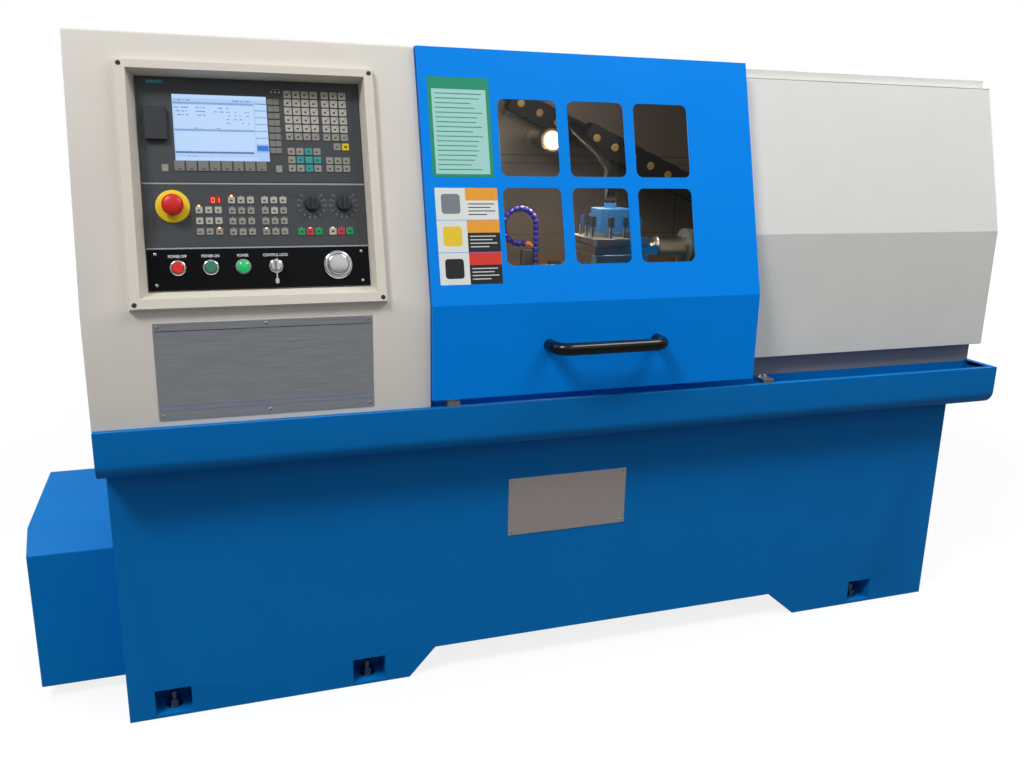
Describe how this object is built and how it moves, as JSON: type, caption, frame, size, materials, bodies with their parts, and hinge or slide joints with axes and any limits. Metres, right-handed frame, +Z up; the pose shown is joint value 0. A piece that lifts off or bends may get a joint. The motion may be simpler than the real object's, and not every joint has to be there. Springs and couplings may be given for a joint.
{
  "type": "cnc turning lathe",
  "caption": "Enclosed flat-bed CNC turning lathe: headstock cabinet with control console, sliding windowed door, tail cover, chip tray on an arched base, turret and tailstock inside.",
  "frame": {"origin": "floor level under the centre of the machine's bounding box", "axes": "+X along the spindle axis from headstock to tailstock, +Y from the operator's side to the rear, +Z up"},
  "size_m": [2.3616, 1.0406, 1.403],
  "materials": {
    "base_blue": "satin blue enamel, fine orange peel",
    "door_blue": "satin blue powder coat",
    "cover_white": "satin off-white powder coat",
    "console_grey": "fine textured dark grey",
    "key_grey": "satin",
    "black_plate": "black anodised satin",
    "screen": "glossy lit panel",
    "window": "clear polycarbonate",
    "handle_black": "gloss black",
    "chrome": "polished",
    "zinc": "yellow zinc plated",
    "brushed": "brushed",
    "steel": "ground steel",
    "hardened": "blackened steel",
    "casting": "painted casting",
    "turret_blue": "satin blue enamel",
    "red": "gloss red",
    "green": "gloss green",
    "rubber": "matte",
    "motor": "satin dark grey",
    "chain": "satin black nylon",
    "hose_blue": "satin blue",
    "tank": "satin grey"
  },
  "bodies": {
    "machine": {"bare_plates": "brushed", "base_stand": "base_blue", "button_plate": "black_plate", "chip_tray": "base_blue", "console_bezel": "cover_white", "console_keys": "key_grey", "control_panel": "console_grey", "coolant_tank": "tank", "display_screen": "screen", "display_unit": "console_grey", "door_guides": "steel", "drag_chain": "chain", "drive_belt": "rubber", "drive_cover": "base_blue", "electrical_cabinet": "cover_white", "headstock": "casting", "headstock_cabinet": "cover_white", "lathe_bed": "casting", "levelling_bolts": "zinc", "panel_fittings": "chrome", "rear_guard": "cover_white", "spindle_motor": "motor", "tail_cover": "cover_white", "tail_skirt": "cover_white", "work_lamp": "motor", "z_drive": "motor"},
    "door": {"sliding_door": "door_blue", "door_windows": "window", "door_handle": "handle_black"},
    "spindle": {"spindle": "steel", "chuck_body": "steel"},
    "jaw_1": {"chuck_jaw_1": "hardened"},
    "jaw_2": {"chuck_jaw_2": "hardened"},
    "jaw_3": {"chuck_jaw_3": "hardened"},
    "motor_rotor": {"motor_pulley": "steel"},
    "z_screw": {"z_screw": "steel"},
    "carriage": {"saddle": "casting", "x_servo": "motor", "coolant_hose": "hose_blue", "conduit": "chain"},
    "x_screw": {"x_screw": "steel"},
    "cross_slide": {"cross_slide": "steel", "turret_base": "steel", "turret_cap": "turret_blue"},
    "turret": {"tool_block": "steel", "cutting_tools": "hardened"},
    "tailstock": {"tailstock": "casting"},
    "quill": {"tail_quill": "steel"},
    "live_centre": {"live_centre": "steel"},
    "handwheel": {"tail_handwheel": "chrome"},
    "clamp_lever": {"tail_clamp_lever": "steel"},
    "e_stop": {"e_stop": "red"},
    "stop_button": {"stop_button": "red"},
    "start_button": {"start_button": "green"},
    "key_switch": {"key_switch": "chrome"},
    "spindle_knob": {"spindle_knob": "handle_black"},
    "feed_knob": {"feed_knob": "handle_black"},
    "port_flap": {"port_flap": "console_grey"},
    "electrical_door": {"electrical_door": "cover_white"},
    "main_switch": {"main_switch": "red"}
  },
  "joints": [
    {"name": "door_slide", "type": "slide", "parent": "machine", "child": "door", "axis": [1, 0, 0], "range_m": [0, 0.7]},
    {"name": "spindle_turn", "type": "hinge", "parent": "machine", "child": "spindle", "pos_m": [-0.3751, -0.08675, 0.96], "axis": [1, 0, 0], "continuous": true},
    {"name": "jaw_1_slide", "type": "slide", "parent": "spindle", "child": "jaw_1", "axis": [0, 0, 1], "range_m": [-0.015, 0.015]},
    {"name": "jaw_2_slide", "type": "slide", "parent": "spindle", "child": "jaw_2", "axis": [0, -0.866, -0.5], "range_m": [-0.015, 0.015]},
    {"name": "jaw_3_slide", "type": "slide", "parent": "spindle", "child": "jaw_3", "axis": [0, 0.866, -0.5], "range_m": [-0.015, 0.015]},
    {"name": "motor_turn", "type": "hinge", "parent": "machine", "child": "motor_rotor", "pos_m": [-1.0051, -0.04675, 0.215], "axis": [1, 0, 0], "continuous": true},
    {"name": "z_screw_turn", "type": "hinge", "parent": "machine", "child": "z_screw", "pos_m": [-0.3451, -0.24875, 0.715], "axis": [1, 0, 0], "range_deg": [-19441, 1]},
    {"name": "carriage_slide", "type": "slide", "parent": "machine", "child": "carriage", "axis": [1, 0, 0], "range_m": [-0.27, 0], "deforming": ["drag_chain"]},
    {"name": "x_screw_turn", "type": "hinge", "parent": "carriage", "child": "x_screw", "pos_m": [0.1599, -0.25675, 0.851], "axis": [0, 1, 0], "range_deg": [-4321, 4321]},
    {"name": "cross_feed", "type": "slide", "parent": "carriage", "child": "cross_slide", "axis": [0, 1, 0], "range_m": [-0.06, 0.06], "deforming": ["conduit"]},
    {"name": "turret_index", "type": "hinge", "parent": "cross_slide", "child": "turret", "pos_m": [0.1644, -0.18675, 0.9253], "axis": [0, 0, 1], "continuous": true},
    {"name": "tailstock_slide", "type": "slide", "parent": "machine", "child": "tailstock", "axis": [1, 0, 0], "range_m": [0, 0.45]},
    {"name": "handwheel_turn", "type": "hinge", "parent": "tailstock", "child": "handwheel", "pos_m": [0.6052, -0.08675, 0.96], "axis": [1, 0, 0], "range_deg": [0, 5040]},
    {"name": "quill_slide", "type": "slide", "parent": "tailstock", "child": "quill", "axis": [1, 0, 0], "range_m": [-0.0001, 0.0701]},
    {"name": "live_centre_turn", "type": "hinge", "parent": "quill", "child": "live_centre", "pos_m": [0.3399, -0.08675, 0.96], "axis": [1, 0, 0], "continuous": true},
    {"name": "clamp_lever_turn", "type": "hinge", "parent": "tailstock", "child": "clamp_lever", "pos_m": [0.5149, -0.18675, 0.868], "axis": [0, 1, 0], "range_deg": [0, 60]},
    {"name": "e_stop_press", "type": "slide", "parent": "machine", "child": "e_stop", "axis": [0, 0.9655, -0.2605], "range_m": [0, 0.005]},
    {"name": "stop_button_press", "type": "slide", "parent": "machine", "child": "stop_button", "axis": [0, 0.9655, -0.2605], "range_m": [0, 0.0035], "stiffness_N_per_m": 600, "springref_m": -0.002},
    {"name": "start_button_press", "type": "slide", "parent": "machine", "child": "start_button", "axis": [0, 0.9655, -0.2605], "range_m": [0, 0.0035], "stiffness_N_per_m": 600, "springref_m": -0.002},
    {"name": "key_turn", "type": "hinge", "parent": "machine", "child": "key_switch", "pos_m": [-0.6491, -0.39429, 0.97171], "axis": [0, -0.9655, 0.2605], "range_deg": [-90, 0]},
    {"name": "spindle_knob_turn", "type": "hinge", "parent": "machine", "child": "spindle_knob", "pos_m": [-0.5721, -0.36345, 1.08986], "axis": [0, -0.9655, 0.2605], "range_deg": [-135, 135]},
    {"name": "feed_knob_turn", "type": "hinge", "parent": "machine", "child": "feed_knob", "pos_m": [-0.5091, -0.36345, 1.08986], "axis": [0, -0.9655, 0.2605], "range_deg": [-135, 135]},
    {"name": "port_flap_hinge", "type": "hinge", "parent": "machine", "child": "port_flap", "pos_m": [-0.8717, -0.32569, 1.23783], "axis": [0, -0.2605, -0.9655], "range_deg": [0, 90]},
    {"name": "electrical_door_hinge", "type": "hinge", "parent": "machine", "child": "electrical_door", "pos_m": [-0.9111, 0.48625, 1], "axis": [0, 0, 1], "range_deg": [0, 110]},
    {"name": "main_switch_turn", "type": "hinge", "parent": "electrical_door", "child": "main_switch", "pos_m": [-0.3651, 0.49825, 1.13], "axis": [0, 1, 0], "range_deg": [0, 90]}
  ],
  "couplings": [
    {"joint": "motor_turn", "follows": "spindle_turn", "ratio": 1.4167},
    {"joint": "jaw_2_slide", "follows": "jaw_1_slide", "ratio": 1},
    {"joint": "jaw_3_slide", "follows": "jaw_1_slide", "ratio": 1},
    {"joint": "z_screw_turn", "follows": "carriage_slide", "rad_per_m": 1256.6},
    {"joint": "x_screw_turn", "follows": "cross_feed", "rad_per_m": 1256.6},
    {"joint": "quill_slide", "follows": "handwheel_turn", "m_per_rad": 0.00079577}
  ]
}
